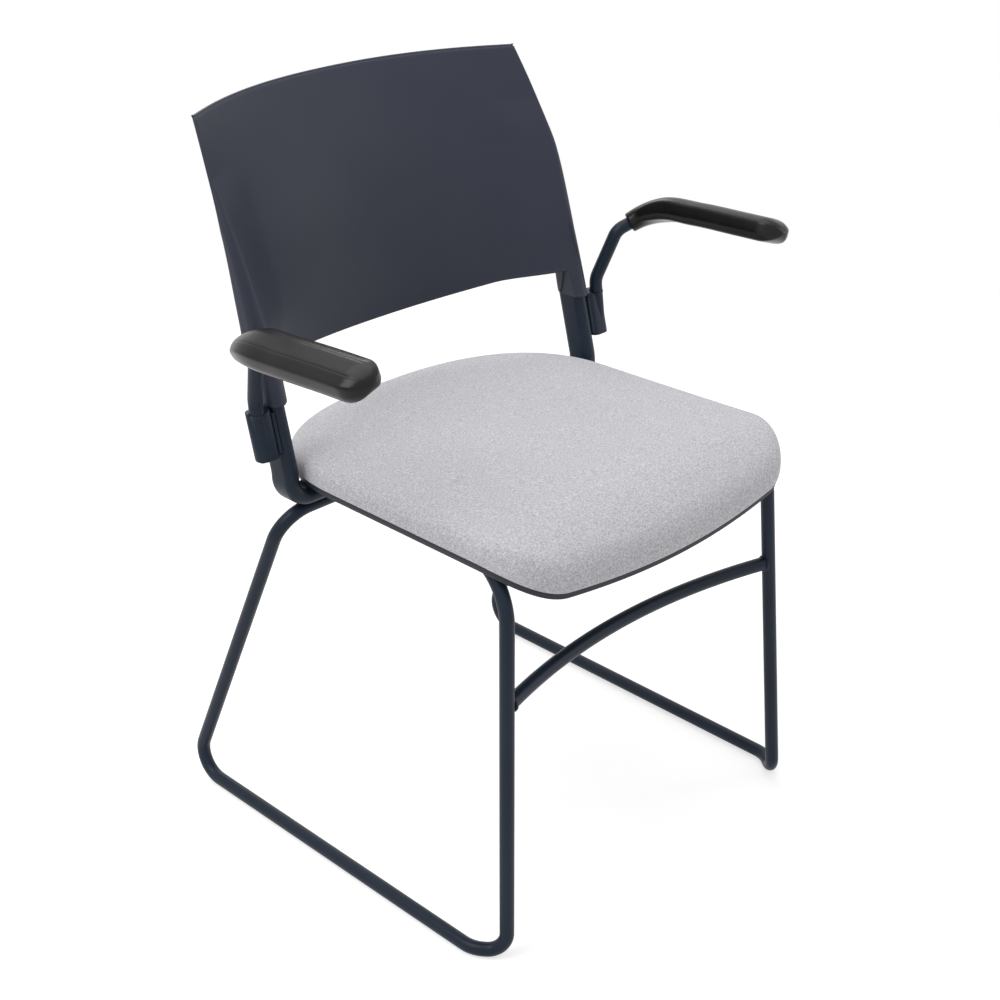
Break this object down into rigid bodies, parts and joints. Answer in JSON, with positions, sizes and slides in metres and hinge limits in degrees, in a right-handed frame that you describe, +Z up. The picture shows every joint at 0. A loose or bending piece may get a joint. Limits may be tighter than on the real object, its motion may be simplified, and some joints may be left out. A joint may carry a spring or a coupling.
{
  "type": "visitor chair",
  "caption": "Visitor chair with a bent steel sled frame, upholstered seat on a moulded pan, curved plastic back shell on oval uprights and plug-in arms with padded rests.",
  "frame": {"origin": "middle of the footprint at floor level, on the chair's plane of symmetry", "axes": "+Z up, the sitter faces -Y, +X is the sitter's left"},
  "size_m": [0.6588, 0.5387, 0.808],
  "materials": {
    "frame_coat": "dark navy powder coat, satin",
    "shell_plastic": "charcoal navy, satin moulded",
    "pan_plastic": "dark charcoal, moulded",
    "pad_black": "black integral-skin, semi gloss",
    "seat_fabric": "light grey woven upholstery",
    "screw_black": "black oxide"
  },
  "bodies": {
    "root": {"left_sled_tube": "frame_coat", "left_upright": "frame_coat", "left_arm_socket": "frame_coat", "left_arm_tube": "frame_coat", "left_arm_pad": "pad_black", "left_arm_screw": "screw_black", "left_back_screw": "screw_black", "left_front_seat_tab": "frame_coat", "left_front_seat_screw": "screw_black", "left_rear_seat_tab": "frame_coat", "left_rear_seat_screw": "screw_black", "right_sled_tube": "frame_coat", "right_upright": "frame_coat", "right_arm_socket": "frame_coat", "right_arm_tube": "frame_coat", "right_arm_pad": "pad_black", "right_arm_screw": "screw_black", "right_back_screw": "screw_black", "right_front_seat_tab": "frame_coat", "right_front_seat_screw": "screw_black", "right_rear_seat_tab": "frame_coat", "right_rear_seat_screw": "screw_black", "rear_cross_tube": "frame_coat", "front_stretcher": "frame_coat", "seat_pan": "pan_plastic", "seat_cushion": "seat_fabric", "back_shell": "shell_plastic"}
  },
  "joints": []
}
